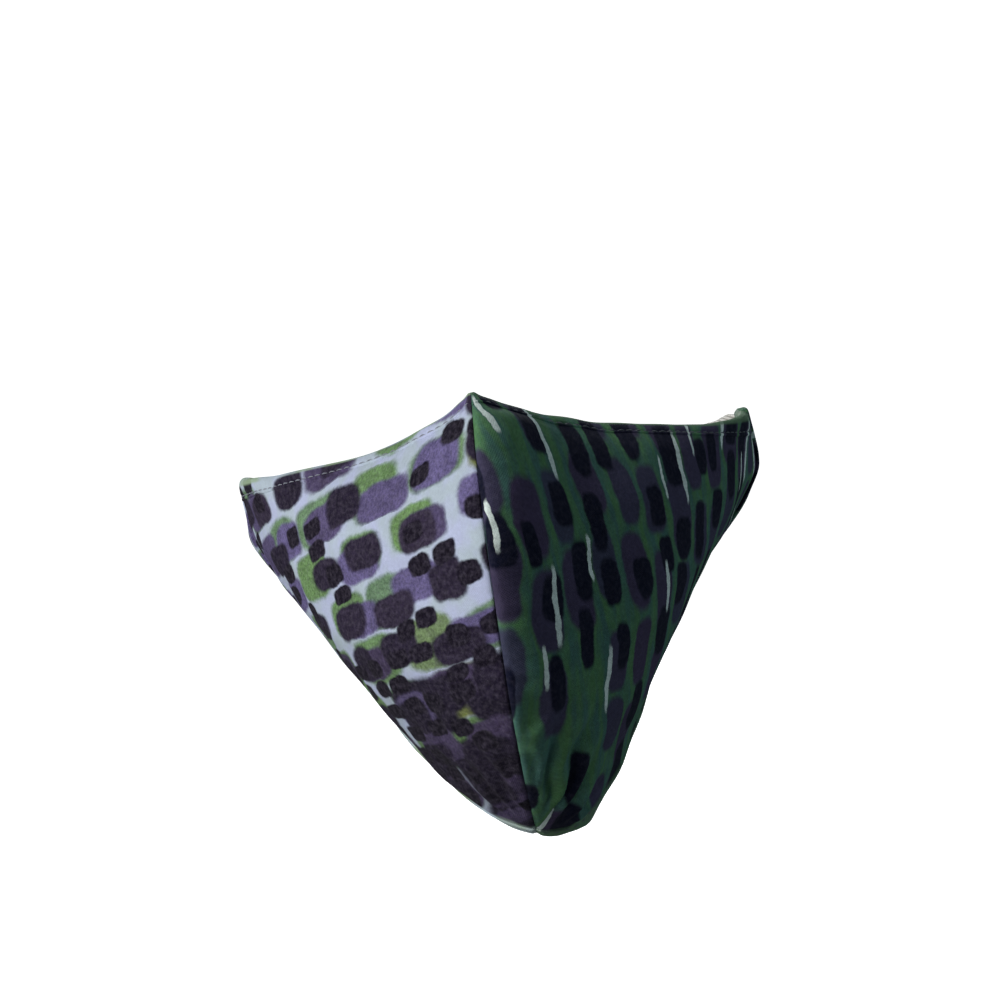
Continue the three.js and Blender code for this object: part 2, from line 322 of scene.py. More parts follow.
def folds(half, s, t, base):
    """How far the cloth stands off its plain surface: the seam's ridge and puckers, soft swells,
    the chin's creases, and the cloth drawn in beside the chin."""
    from_seam = seam_distance(half, t, base)
    height = base[..., 2]
    if half == "right":
        keel = between(ROWS[half]["keel"], t)
        steep = np.tan(np.radians(np.clip(RIDGE_KEEL - keel, 0, RIDGE_MOST)))
    else:
        steep = RIDGE_LEFT
    near = np.clip(from_seam, 0, RIDGE_REACH)
    rise = steep * (near - near**2 / (2 * RIDGE_REACH))
    ridge = rise * (1 - smooth(from_seam, RIDGE_REACH, RIDGE_ENDS)) * smooth(t, *RIDGE_STARTS)
    wander = WANDER * np.sin(height * WANDER_RATE + WANDER_START)
    puckers = PUCKER_HEIGHT * np.sin(height * PUCKER_RATE + wander)
    puckers = puckers * bell(from_seam - PUCKER_PLACE, PUCKER_WIDTH)
    swells = crumple(half, base)
    swell = SWELL_HEIGHT * swells * smooth(from_seam, *SWELL_STARTS)
    above_chin = height + SEAM_HEIGHT
    from_chin = np.hypot(from_seam, above_chin)
    row_end = CREASE_ROWS_END[half]
    chin = smooth(from_chin, *CREASE_STARTS) * (1 - smooth(from_chin, *CREASE_ENDS))
    chin = chin * smooth(from_seam, *CREASE_LEAVES_SEAM)
    chin = chin * (1 - smooth(s, row_end, row_end + CREASE_FADE))
    fan = np.arctan2(above_chin, from_seam) + CREASE_WANDER * swells
    creases = CREASE_HEIGHT[half] * chin * np.sin(CREASE_RATE * fan)
    drawn_in = DRAWN_IN[half] * smooth(t, *DRAWN_DOWN)
    drawn_in = drawn_in * smooth(s, *DRAWN_STARTS) * (1 - smooth(s, *DRAWN_ENDS))
    return ridge + puckers + swell + creases - drawn_in


def seam_groove(half, t, base):
    """The cloth's face sinks where the two halves are sewn together."""
    return -GROOVE_DEPTH * bell(seam_distance(half, t, base), GROOVE_WIDTH)


# Pieces of cloth

# Each half keeps this far on its own side of the seam, and the seam's mitre turns into the plain
# way through the cloth over this many walls
SEAM_SIDE = 0.00002
MITRE_WALLS = 4

# How the printed cloth lies: it is read off leaning by this angle in degrees, and this share of the
# way across is flat, the rest following the surface
PRINT_LEAN = 26
PRINT_FLAT = 0.45

# A stitch takes this share of its pitch, arches over the cloth and sinks into it at its ends
STITCH_INSET = 0.0014
STITCH_PITCH = 0.0027
STITCH_START = 0.12
STITCH_SHARE = 0.76
STITCH_ARCH = 0.00022
STITCH_SINK = 0.00016
STITCH_RINGS = 6
THREAD = 0.00032
THREAD_TAPER = 0.25
THREAD_SIDES = 6


def spaced(length, step, fine=(), middle=()):
    """Distances from 0 to length about a step apart, finer near both ends and at the middle ones."""
    even = np.linspace(0, length, max(2, round(length / step)) + 1)
    ends = [d for d in fine if d < length / 2]
    extra = [*ends, *(length - d for d in ends), *middle]
    return np.unique(np.round(np.concatenate([even, extra]), 7))


def make_mesh(name, points, faces, kinds, materials, layers=()):
    """Makes a piece and lets it ride on the body. Layers are (name, two numbers for each point)."""
    mesh = bpy.data.meshes.new(name)
    mesh.from_pydata([tuple(p) for p in points], [], [tuple(f) for f in faces])
    for material in materials:
        mesh.materials.append(material)
    mesh.polygons.foreach_set("material_index", np.array(kinds, np.int32))
    mesh.polygons.foreach_set("use_smooth", np.ones(len(faces), bool))
    corner = np.zeros(len(mesh.loops), np.int32)
    mesh.loops.foreach_get("vertex_index", corner)
    for layer_name, values in layers:
        layer = mesh.uv_layers.new(name=layer_name)
        layer.data.foreach_set("uv", values[corner].astype(np.float32).ravel())
    mesh.update()
    piece = bpy.data.objects.new(name, mesh)
    SCENE.collection.objects.link(piece)
    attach(piece, "root")
    return piece


def printed_place(half, t, base):
    """Where a point lies on the printed cloth: how far across from the seam, and how high."""
    lean = math.radians(PRINT_LEAN)
    across = np.abs(base[..., 0]) * math.sin(lean) + base[..., 1] * math.cos(lean) + SEAM_REACH
    across = across * PRINT_FLAT + seam_distance(half, t, base) * (1 - PRINT_FLAT)
    return np.stack([across, base[..., 2]], -1)


def surface_at(half, s, t, wall):
    """A surface's points and the way through the cloth there, mitred at the seam."""
    base = face(half, s, t)
    normal = outward(half, s, t)
    mitre = outward(half, np.zeros_like(t), t)
    mitre[..., 0] = 0
    mitre /= (mitre**2).sum(-1, keepdims=True)
    blend = smooth(seam_distance(half, t, base), 0, MITRE_WALLS * wall)[..., None]
    return base, mitre * (1 - blend) + normal * blend


def cloth(name, half, s, t, wall, raised, fall, inner_fall, rim):
    """A closed piece of cloth on a grid of s and t. Raised lifts its outer face, and the falls
    round its edges over. Rim is the distance from the free edge as a share of its pale depth."""
    sign = ROWS[half]["sign"]
    base, through = surface_at(half, s, t, wall)
    fold = folds(half, s, t, base)
    top = raised + fold + seam_groove(half, t, base) - fall
    outer = base + through * top[..., None]
    inner = base + through * (fold - wall + fall + inner_fall)[..., None]
    for points in (outer, inner):
        points[..., 0] = sign * np.maximum(sign * points[..., 0], SEAM_SIDE)
    across, down = t.shape
    count = across * down
    index = np.arange(count).reshape(across, down)
    a, b, c, d = index[:-1, :-1], index[:-1, 1:], index[1:, 1:], index[1:, :-1]
    front = np.stack([a, b, c, d], -1).reshape(-1, 4)
    back = front[:, ::-1] + count
    around = np.concatenate([index[:, 0], index[-1, 1:], index[-2::-1, -1], index[0, -2:0:-1]])
    following = np.roll(around, -1)
    sides = np.stack([around, following, following + count, around + count], -1)
    faces = np.concatenate([front, back, sides])
    if sign < 0:
        faces = faces[:, ::-1]
    kinds = np.concatenate([np.zeros(len(front)), np.ones(len(back)), np.zeros(len(sides))])
    points = np.concatenate([outer.reshape(-1, 3), inner.reshape(-1, 3)])
    flat = np.concatenate([printed_place(half, t, base).reshape(-1, 2)] * 2)
    rims = np.concatenate([np.stack([rim, np.zeros_like(rim)], -1).reshape(-1, 2)] * 2)
    layers = (("cloth", flat), ("edge", rims))
    return make_mesh(name, points, faces, kinds, PRINTS[half], layers)


def stitches(name, half, line, out):
    """A row of sewing thread in one piece. Line is its points, and out the way out of the cloth."""
    points, faces = [], []
    walked = walked_along(line)
    count = max(1, int(walked[-1] / STITCH_PITCH))
    share = np.linspace(0, 1, STITCH_RINGS)
    arch = np.sin(np.linspace(0, math.pi, STITCH_RINGS))[:, None]
    for k in range(count):
        where = (k + STITCH_START + STITCH_SHARE * share) * walked[-1] / count
        centre = values_at(where, walked, line)
        up = unit(values_at(where, walked, out))
        run = unit(centre[-1] - centre[0])
        across = np.cross(run, up)
        centre = centre + up * (arch * STITCH_ARCH - STITCH_SINK)
        start = len(points)
        for ring in range(STITCH_RINGS):
            thick = THREAD / 2 * (1 - THREAD_TAPER + THREAD_TAPER * arch[ring, 0])
            for side in range(THREAD_SIDES):
                a = math.tau * side / THREAD_SIDES
                push = across[ring] * math.cos(a) + up[ring] * math.sin(a)
                points.append(centre[ring] + thick * push)
        for ring in range(STITCH_RINGS - 1):
            first = start + ring * THREAD_SIDES
            for side in range(THREAD_SIDES):
                low, high = first + side, first + (side + 1) % THREAD_SIDES
                faces.append((low, high, high + THREAD_SIDES, low + THREAD_SIDES))
        last = len(points) - THREAD_SIDES
        faces.append(tuple(range(start + THREAD_SIDES - 1, start - 1, -1)))
        faces.append(tuple(range(last, last + THREAD_SIDES)))
    return make_mesh(name, points, faces, np.zeros(len(faces)), [THREADS[half]])


# Materials


class Shader:
    """Builds a material's nodes. A value may be a number, a colour or another node's output."""

    def __init__(self, name):
        self.material = bpy.data.materials.new(name)
        self.material.use_nodes = True
        self.nodes = self.material.node_tree.nodes
        self.links = self.material.node_tree.links
        self.surface = self.nodes["Principled BSDF"]

    def feed(self, socket, value):
        if isinstance(value, bpy.types.NodeSocket):
            self.links.new(value, socket)
        else:
            socket.default_value = value

    def finish(self, values):
        """Feeds the surface shader's own sockets by name and gives the material."""
        for name, value in values.items():
            self.feed(self.surface.inputs[name], value)
        return self.material

    def node(self, kind, inputs=(), **settings):
        made = self.nodes.new(kind)
        for name, value in settings.items():
            setattr(made, name, value)
        for place, value in dict(inputs).items():
            self.feed(made.inputs[place], value)
        return made

    def math(self, operation, a, b=0.0, c=0.0):
        inputs = {0: a, 1: b, 2: c}
        return self.node("ShaderNodeMath", inputs, operation=operation).outputs[0]

    def add(self, a, b):
        return self.math("ADD", a, b)

    def less(self, a, b):
        return self.math("SUBTRACT", a, b)

    def times(self, a, b):
        return self.math("MULTIPLY", a, b)

    def most(self, a, b):
        return self.math("MAXIMUM", a, b)

    def vector(self, operation, a, b=(0, 0, 0)):
        return self.node("ShaderNodeVectorMath", {0: a, 1: b}, operation=operation).outputs[0]

    def join(self, x, y, z=0.0):
        return self.node("ShaderNodeCombineXYZ", {0: x, 1: y, 2: z}).outputs[0]

    def split(self, vector):
        return self.node("ShaderNodeSeparateXYZ", {0: vector}).outputs

    def ramp(self, value, low, high, to_low=0.0, to_high=1.0):
        inputs = {0: value, 1: low, 2: high, 3: to_low, 4: to_high}
        made = self.node("ShaderNodeMapRange", inputs, interpolation_type="SMOOTHSTEP")
        return made.outputs[0]

    def scaled(self, value, to_low, to_high):
        """A draw from 0 to 1 brought to a range."""
        return self.node("ShaderNodeMapRange", {0: value, 3: to_low, 4: to_high}).outputs[0]

    def mix(self, share, a, b, blend="MIX"):
        made = self.node("ShaderNodeMix", data_type="RGBA", blend_type=blend)
        for place, value in ((0, share), (6, a), (7, b)):
            self.feed(made.inputs[place], value)
        return made.outputs[2]

    def noise(self, vector, scale, detail=2.0, rough=0.5):
        inputs = {"Vector": vector, "Scale": scale, "Detail": detail, "Roughness": rough}
        return self.node("ShaderNodeTexNoise", inputs, noise_dimensions="3D").outputs

    def wander(self, vector, scale, detail, rough, reach):
        """An uneven push of up to about half the reach, across and up."""
        pushed = self.noise(vector, scale, detail, rough)["Color"]
        centred = self.vector("SUBTRACT", pushed, (0.5, 0.5, 0.5))
        return self.vector("MULTIPLY", centred, (reach, reach, 0))

    def layer(self, name):
        return self.node("ShaderNodeUVMap", uv_map=name).outputs[0]

    def bump(self, height, strength, distance):
        inputs = {"Strength": strength, "Distance": distance, "Height": height}
        return self.node("ShaderNodeBump", inputs).outputs[0]

    def draws(self, x, y, seed):
        """Three draws from 0 to 1 for a cell."""
        inputs = {"Vector": self.join(x, y, seed)}
        made = self.node("ShaderNodeTexWhiteNoise", inputs, noise_dimensions="3D")
        return self.node("ShaderNodeSeparateColor", {0: made.outputs["Color"]}).outputs


def colour(red, green, blue):
    """A colour given as it looks on a screen, 0 to 255, made linear."""
    linear = [((v / 255 + 0.055) / 1.055) ** 2.4 if v > 10 else v / 3295 for v in (red, green, blue)]
    return (*linear, 1.0)


# The bare cloth and the inks
GROUND_BLUE = colour(186, 194, 224)
GROUND_GREY = colour(180, 194, 206)
PALE_GREEN = colour(158, 180, 150)
WHITE = colour(222, 236, 232)
GREEN = colour(106, 136, 106)
LEAF = colour(106, 140, 86)
LIME = colour(126, 136, 76)
TEAL = colour(70, 110, 102)
DEEP_GREEN = colour(82, 126, 84)
LAVENDER = colour(102, 94, 138)
PLUM = colour(68, 58, 86)
DULL_PLUM = colour(50, 42, 62)
DARK_PLUM = colour(30, 24, 42)
BLACK_PLUM = colour(20, 15, 29)
SLATE = colour(62, 66, 88)
INK_BLUE = colour(15, 19, 40)
THIN_INK = colour(138, 130, 150)
REVERSE_GREY = colour(186, 186, 184)

# The elastic's yarn, clean and grimy, and painted shade in the grooves between its ribs
YARN_WHITE = colour(236, 234, 228)
YARN_GREY = colour(222, 219, 210)
YARN_GROOVE_SHADE = colour(150, 146, 138)

# How the rows of blobs lie, in degrees, and how round-cornered and soft-edged a blob is
LYING = -15
UPRIGHT = 87
BLOB_SQUARE = 3.4
BLOB_SOFT = 0.13
ROW_SLIP = 5.0

# The further from the seam, the higher a blob counts, so that the print opens there
OPENING = 0.3

# Each layer of blobs: its pitch in millimetres along and across the rows, how its rows lie, its
# shift, its seed, and the least and the most half width and half height as shares of the pitch
BLOBS = {
    "patch": ((22, 12.6), LYING, (4, 3), 1, (0.34, 0.49), (0.38, 0.5)),
    "flood": ((27, 17), LYING, (9, 2), 8, (0.4, 0.5), (0.4, 0.5)),
    "block": ((21, 12.6), LYING, (0, 3), 2, (0.36, 0.47), (0.32, 0.39)),
    "core": ((18.5, 12.6), LYING, (6, 4), 3, (0.32, 0.46), (0.26, 0.36)),
    "spot": ((10.5, 6.3), LYING, (2, 1), 4, (0.3, 0.44), (0.32, 0.42)),
    "oval": ((20, 10.5), UPRIGHT, (0, 0), 6, (0.36, 0.48), (0.32, 0.44)),
    "heart": ((16, 10.5), UPRIGHT, (5, 1), 7, (0.28, 0.46), (0.2, 0.34)),
    "sliver": ((26, 10.5), UPRIGHT, (9, 5.3), 5, (0.17, 0.34), (0.045, 0.08)),
}

# The share of a layer's blobs that is kept: from one height in millimetres to a lower one, it goes
# from the first share to the second
KEPT = {
    "patch": (-30, -70, 0.72, 0.85),
    "flood": (-36, -74, 0.0, 0.97),
    "block": (-40, -80, 0.68, 0.92),
    "core": (-10, -55, 0.42, 1.0),
    "spot": (-10, -58, 0.16, 0.7),
    "oval": (-30, -95, 0.94, 0.4),
    "heart": (-30, -95, 0.7, 0.4),
    "sliver": (-30, -95, 0.5, 0.5),
}

# How much the ink is mottled, how far its blobs wander in millimetres, and how washed out it is on
# the cloth's reverse
MOTTLE = {"light": 0.36, "dark": 0.16}
WOBBLE = {"light": 3.2, "dark": 3.5}
WASH = {"light": 0.45, "dark": 0.35}
FRAY = 0.8

# Painted light: the pale edge is partly the cloth's pale ground turned over and partly painted bounce
# light on the turned-under hem, which faces away from the lamps
# How pale a free edge is: from one share of its pale depth to another, it goes from most to none
EDGE_PALING_AND_PAINTED_LIGHT = (0.7, 1.1, 0.85, 0.0)

Blob = collections.namedtuple("Blob", "inside draws height out")


def blobs(g, place, pitch, turn, shift, seed, wide, high):
    """Rounded blobs in rows, one to a cell. Gives how much a point lies in its cell's blob, three
    draws for the cell, how high the cell counts, and how far out from the seam it is."""
    cosine, sine = math.cos(math.radians(turn)), math.sin(math.radians(turn))
    u, v, _ = g.split(place)
    along_row = g.add(g.times(u, cosine), g.times(v, sine))
    up = g.less(g.times(v, cosine), g.times(u, sine))
    along_row = g.math("DIVIDE", g.add(along_row, shift[0]), pitch[0])
    up = g.math("DIVIDE", g.add(up, shift[1]), pitch[1])
    row = g.math("FLOOR", up)
    slip = g.times(g.draws(row, 0.0, seed + 0.5)[0], ROW_SLIP)
    slipped = g.add(along_row, slip)
    column = g.math("FLOOR", slipped)
    sizes = g.draws(column, row, seed)
    draws = g.draws(column, row, seed + 0.25)
    half_wide = g.scaled(sizes[0], *wide)
    half_high = g.scaled(sizes[1], *high)
    off_x = g.times(g.less(sizes[2], 0.5), g.less(1.0, g.times(half_wide, 2.0)))
    off_y = g.times(g.less(draws[2], 0.5), g.less(1.0, g.times(half_high, 2.0)))
    x = g.less(g.less(slipped, column), g.add(off_x, 0.5))
    y = g.less(g.less(up, row), g.add(off_y, 0.5))
    x = g.math("POWER", g.math("ABSOLUTE", g.math("DIVIDE", x, half_wide)), BLOB_SQUARE)
    y = g.math("POWER", g.math("ABSOLUTE", g.math("DIVIDE", y, half_high)), BLOB_SQUARE)
    distance = g.math("POWER", g.add(x, y), 1 / BLOB_SQUARE)
    inside = g.ramp(distance, 1 - BLOB_SOFT, 1 + BLOB_SOFT, 1.0, 0.0)
    middle = g.less(g.times(g.add(g.less(column, slip), 0.5), pitch[0]), shift[0])
    middle_up = g.less(g.times(g.add(row, 0.5), pitch[1]), shift[1])
    height = g.add(g.times(middle, sine), g.times(middle_up, cosine))
    out = g.less(g.times(middle, cosine), g.times(middle_up, sine))
    return Blob(inside, draws, g.add(height, g.times(out, OPENING)), out)


def printed(g, place, name):
    """A layer of blobs and the mask of those that are kept."""
    blob = blobs(g, place, *BLOBS[name])
    share = g.ramp(blob.height, *KEPT[name])
    return blob, g.times(blob.inside, g.math("LESS_THAN", blob.draws[0], share))


def cloth_place(g, wobble):
    """The cloth's own coordinates in millimetres, a little uneven, and the even ones."""
    even = g.vector("MULTIPLY", g.layer("cloth"), (1000, 1000, 0))
    bend = g.wander(even, 0.085, 2.0, 0.5, wobble)
    fray = g.wander(even, 0.6, 3.0, 0.6, FRAY)
    return g.vector("ADD", g.vector("ADD", even, bend), fray), even


def weave(g, even):
    """Crossing threads and small lint, as a bump."""
    u, v, _ = g.split(even)
    threads = g.times(g.math("SINE", g.times(u, 11.0)), g.math("SINE", g.times(v, 11.0)))
    lint = g.noise(even, 2.6, 4.0, 0.65)["Fac"]
    return g.bump(g.add(g.times(threads, 0.25), lint), 0.5, 0.0003)


def finish_cloth(g, base, even, inked, rim, mottle, wash):
    """Mottles the printed ink, pales the cloth at its turned edge with its pale ground and painted
    bounce light, and makes it woven and matt.
    """
    grain = g.ramp(g.noise(even, 1.3, 4.0, 0.7)["Fac"], 0.3, 0.72, 1 - mottle, 1 + mottle)
    clump = g.ramp(g.noise(even, 0.28)["Fac"], 0.3, 0.7, 1 - mottle / 2, 1 + mottle / 2)
    light = g.add(g.times(inked, g.less(g.times(grain, clump), 1.0)), 1.0)
    base = g.mix(1.0, base, g.join(light, light, light), "MULTIPLY")
    thin = g.ramp(g.noise(even, 0.75, 4.0, 0.7)["Fac"], 0.36, 0.8, 0.0, mottle * 0.55)
    base = g.mix(g.times(thin, inked), base, THIN_INK)
    # Painted light: the free edge is paled towards the rim colour, partly the turned-over ground and
    # partly painted bounce light on the hem's underside
    base = g.mix(g.ramp(g.split(g.layer("edge"))[0], *EDGE_PALING_AND_PAINTED_LIGHT), base, rim)
    if wash:
        base = g.mix(wash, base, REVERSE_GREY)
    surface = {
        "Base Color": base,
        "Roughness": 0.92,
        "Specular IOR Level": 0.06,
        "Sheen Weight": 0.02,
        "Sheen Roughness": 0.6,
        "Normal": weave(g, even),
    }
    return g.finish(surface)


def light_print(name, wash=0.0):
    """Plum blobs and green patches in loose rows on a pale ground, denser towards the chin."""
    g = Shader(name)
    place, even = cloth_place(g, WOBBLE["light"])
    base = g.mix(g.ramp(g.noise(even, 0.12)["Fac"], 0.35, 0.65), GROUND_BLUE, GROUND_GREY)
    patch, patches = printed(g, place, "patch")
    lime = g.ramp(g.add(patch.out, g.times(patch.draws[1], 50)), 40, 45, 1.0, 0.0)
    base = g.mix(patches, base, g.mix(lime, g.mix(patch.draws[2], GREEN, LEAF), LIME))
    _, floods = printed(g, place, "flood")
    base = g.mix(floods, base, DARK_PLUM)
    block, blocks = printed(g, place, "block")
    tone = g.add(block.draws[1], g.ramp(block.height, -20, -75, -0.25, 0.6))
    base = g.mix(blocks, base, g.mix(g.ramp(tone, 0.1, 0.9), LAVENDER, PLUM))
    core, cores = printed(g, place, "core")
    dull = g.times(core.draws[1], g.ramp(core.height, -20, -60, 1.0, 0.1))
    base = g.mix(cores, base, g.mix(dull, DARK_PLUM, DULL_PLUM))
    _, spots = printed(g, place, "spot")
    base = g.mix(spots, base, BLACK_PLUM)
    inked = g.most(g.most(g.most(patches, blocks), g.most(cores, spots)), floods)
    inked = g.add(g.times(inked, 0.85), 0.15)
    # The colour of the paled free edge: partly the turned-over pale ground, partly painted bounce
    # light
    rim = g.mix(g.ramp(g.noise(even, 0.09)["Fac"], 0.4, 0.6), GROUND_GREY, PALE_GREEN)
    return finish_cloth(g, base, even, inked, rim, MOTTLE["light"], wash)


def dark_print(name, wash=0.0):
    """The same kind of print upright: plum ovals with dark hearts and pale slivers on green."""
    g = Shader(name)
    place, even = cloth_place(g, WOBBLE["dark"])
    streaks = g.noise(g.vector("MULTIPLY", place, (1, 0.15, 1)), 0.35, 3.0)["Fac"]
    base = g.mix(g.ramp(streaks, 0.35, 0.65), TEAL, DEEP_GREEN)
    oval, ovals = printed(g, place, "oval")
    base = g.mix(ovals, base, g.mix(oval.draws[1], PLUM, SLATE))
    _, hearts = printed(g, place, "heart")
    base = g.mix(hearts, base, INK_BLUE)
    _, slivers = printed(g, place, "sliver")
    base = g.mix(slivers, base, WHITE)
    # The free edge is paled towards green: partly turned-over cloth, partly painted bounce light
    return finish_cloth(g, base, even, 1.0, GREEN, MOTTLE["dark"], wash)


def thread_material(name, dark, light):
    """Sewing thread with small flecks."""
    g = Shader(name)
    place = g.node("ShaderNodeTexCoord").outputs["Object"]
    fleck = g.noise(place, 900.0)["Fac"]
    return g.finish({"Base Color": g.mix(fleck, dark, light), "Roughness": 0.7})


def elastic_material():
    """White braided elastic: ribs along it, crossed by slanting strands, with painted shade in the
    grooves between them.
    """
    g = Shader("elastic")
    uv = g.layer("cloth")
    length, across, _ = g.split(g.vector("MULTIPLY", uv, (1000, 1000, 0)))
    ribs = g.math("ABSOLUTE", g.math("SINE", g.times(across, math.pi)))
    slant = g.add(g.times(length, 5.0), g.times(g.math("PINGPONG", across, 1.0), 3.0))
    strands = g.add(g.times(g.math("SINE", slant), 0.5), 0.5)
    height = g.add(g.times(ribs, 0.7), g.times(strands, 0.3))
    white = g.mix(g.noise(uv, 60.0, 3.0)["Fac"], YARN_WHITE, YARN_GREY)
    # Painted shade: the yarn is darkened where the bump height is low, in the grooves between the
    # ribs
    surface = {
        "Base Color": g.mix(g.ramp(height, 0.05, 0.75), YARN_GROOVE_SHADE, white),
        "Roughness": 0.82,
        "Normal": g.bump(height, 0.8, 0.0004),
    }
    return g.finish(surface)


PRINTS = {
    "left": (light_print("print_light"), light_print("print_light_reverse", WASH["light"])),
    "right": (dark_print("print_dark"), dark_print("print_dark_reverse", WASH["dark"])),
}
THREADS = {
    "left": thread_material("thread_light", colour(120, 124, 138), colour(150, 154, 166)),
    "right": thread_material("thread_dark", colour(70, 76, 84), colour(98, 104, 112)),
}
ELASTIC = elastic_material()


# The panels and hems

# How many points a panel has each way and a hem along its length, how far apart a hem's rows are,
# and how much finer they are at its ends and beside its stitching
PANEL_POINTS = 170
HEM_POINTS = 190
HEM_STEP = 0.0006
FINE_ENDS = (0.00008, 0.0003, 0.0007, 0.0013)
STITCH_STEPS = np.arange(-3, 4) * 0.00025
SIDE_HEM_STEP = 1 / 80
SIDE_HEM_FINE = (0.002, 0.008, 0.018, 0.034)
SIDE_STITCH_POINTS = 90
SIDE_STITCH_ENDS = (0.04, 0.96)

# How far a panel runs in under its hems and its side hem, and a hem under its side hem
UNDER_HEM = 0.0008
UNDER_SIDE = 0.0005
HEM_UNDER_SIDE = 0.0015

# How a turned edge is shaped: how proud it stands at the long edges and the side, its soft puff,
# the line drawn in by its stitches, and how it is rounded over onto the panel
HEM_PROUD = 0.0004
SIDE_HEM_PROUD = 0.0009
PROUD_FROM = 0.002
PUFF = 0.00015
PUFF_PLACE = 0.003
PUFF_WIDTH = 0.0015
SEWN_DEPTH = 0.0003
SEWN_WIDTH = 0.0005
HEM_ROUND = 0.0006
SIDE_HEM_SUNK = 0.0004

# How high the thread lies over the plain surface, on the long hems and the side hems
THREAD_LIFT = 0.0002
SIDE_THREAD_LIFT = 0.00072

# How deep the print is paled along each free edge: partly its pale ground turned over, partly painted
# bounce light
PALE_RIM = {
    "right": {"top_hem": 0.003, "bottom_hem": 0.0048, "side_hem": 0.003},
    "left": {"top_hem": 0.003, "bottom_hem": 0.0062, "side_hem": 0.003},
}


def build_panel(half):
    """A cloth panel from the seam to just under its side hem, between its two hems."""
    s = np.linspace(0, side_start(half, SIDE_HEM - UNDER_SIDE), PANEL_POINTS)
    top = walk(half, s, TOP_HEM - UNDER_HEM)
    bottom = walk(half, s, BOTTOM_HEM - UNDER_HEM, from_bottom=True)
    t = top[:, None] + (bottom - top)[:, None] * np.linspace(0, 1, PANEL_POINTS)[None]
    s = np.broadcast_to(s[:, None], t.shape)
    plain = np.zeros_like(t)
    walked = walked_down(face(half, s, t))
    rim = (BOTTOM_HEM - UNDER_HEM + walked[:, -1:] - walked) / PALE_RIM[half]["bottom_hem"]
    piece = cloth(f"cloth_panel_{half}", half, s, t, PANEL_WALL, plain, plain, plain, rim)
    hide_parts(f"panel_{half}")
    return piece


def hem_face(distance, depth, proud):
    """The outer face of a turned edge by the distance from the free edge: full at the edge, drawn
    in at its stitching, and rounded over where it lies on the panel."""
    puff = proud * smooth(distance, 0, PROUD_FROM) + PUFF * bell(distance - PUFF_PLACE, PUFF_WIDTH)
    sewn = SEWN_DEPTH * bell(distance - (depth - STITCH_INSET), SEWN_WIDTH)
    return puff - sewn - rounding(depth - distance, HEM_ROUND)


def build_hem(half, name, depth, from_bottom):
    """The turned edge along a half's top or bottom, and its stitching."""
    s = np.linspace(0, side_start(half, SIDE_HEM - HEM_UNDER_SIDE), HEM_POINTS)
    stitch = depth - STITCH_INSET
    distances = spaced(depth, HEM_STEP, FINE_ENDS, stitch + STITCH_STEPS)
    t = np.stack([walk(half, s, d, from_bottom) for d in distances], axis=1)
    if from_bottom:
        t = t[:, ::-1]
        distances = distances[::-1]
    s_grid = np.broadcast_to(s[:, None], t.shape)
    distance = np.broadcast_to(distances[None], t.shape)
    piece = cloth(
        f"cloth_{name}_{half}",
        half,
        s_grid,
        t,
        HEM_WALL,
        hem_face(distance, depth, HEM_PROUD),
        rounding(distance, HEM_WALL / 2),
        rounding(depth - distance, HEM_ROUND),
        distance / PALE_RIM[half][name],
    )
    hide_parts(f"{name}_{half}")
    row = walk(half, s, stitch, from_bottom)
    base, through = surface_at(half, s, row, HEM_WALL)
    line = base + through * (THREAD_LIFT + folds(half, s, row, base))[:, None]
    clear_of_seam = slice(2, None)
    thread = stitches(
        f"stitches_{name}_{half}", half, line[clear_of_seam], unit(through)[clear_of_seam]
    )
    return piece, thread


def build_side_hem(half):
    """The turned edge at a half's side, rounded at both ends, and its stitching."""
    start = side_start(half, SIDE_HEM)
    stitch = SIDE_HEM - STITCH_INSET
    distances = spaced(SIDE_HEM, HEM_STEP, FINE_ENDS, stitch + STITCH_STEPS)[::-1]
    down = spaced(1, SIDE_HEM_STEP, SIDE_HEM_FINE)
    s = 1 - (1 - start) * distances / SIDE_HEM
    s_grid, t = np.meshgrid(s, down, indexing="ij")
    distance = np.broadcast_to(distances[:, None], t.shape)
    walked = walked_down(face(half, s_grid, t))
    from_end = np.minimum(walked, walked[:, -1:] - walked)
    radius = HEM_WALL / 2
    near_edge = np.clip(radius - distance, 0, radius)
    near_end = np.clip(radius - from_end, 0, radius)
    fall = radius - np.sqrt(np.clip(radius**2 - near_edge**2 - near_end**2, 0, None))
    piece = cloth(
        f"cloth_side_hem_{half}",
        half,
        s_grid,
        t,
        HEM_WALL,
        hem_face(distance, SIDE_HEM, SIDE_HEM_PROUD),
        fall,
        rounding(SIDE_HEM - distance, HEM_ROUND) - SIDE_HEM_SUNK,
        distance / PALE_RIM[half]["side_hem"],
    )
    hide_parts(f"side_hem_{half}")
    t_line = np.linspace(*SIDE_STITCH_ENDS, SIDE_STITCH_POINTS)
    s_line = np.full_like(t_line, 1 - (1 - start) * stitch / SIDE_HEM)
    base, through = surface_at(half, s_line, t_line, HEM_WALL)
    line = base + through * (SIDE_THREAD_LIFT + folds(half, s_line, t_line, base))[:, None]
    thread = stitches(f"stitches_side_hem_{half}", half, line, unit(through))
    return piece, thread


# The ear loops

# Points along a loop and round it, steps of its curve between two points of the route, and rounds
# in which its reach is fitted to its length
LOOP_POINTS = 240
LOOP_SIDES = 28
CURVE_STEPS = 60
FITTING_ROUNDS = 12

# Where the elastic turns from lying along the side hem to lying flat, as shares of its length from
# its ends, how long it follows the hem, and how far its ends are sewn in
TWIST = (0.06, 0.36)
FOLLOWS_HEM = 0.05
SEWN_IN = 0.0022

# The elastic's section: how square its sides and its faces are, its ribs and its crossing strands
SIDE_SQUARE = 0.45
FACE_SQUARE = 0.8
RIB_PITCH = 0.001
RIB_DEPTH = 0.12
STRAND_PITCH = 0.0016
STRAND_DEPTH = 0.03


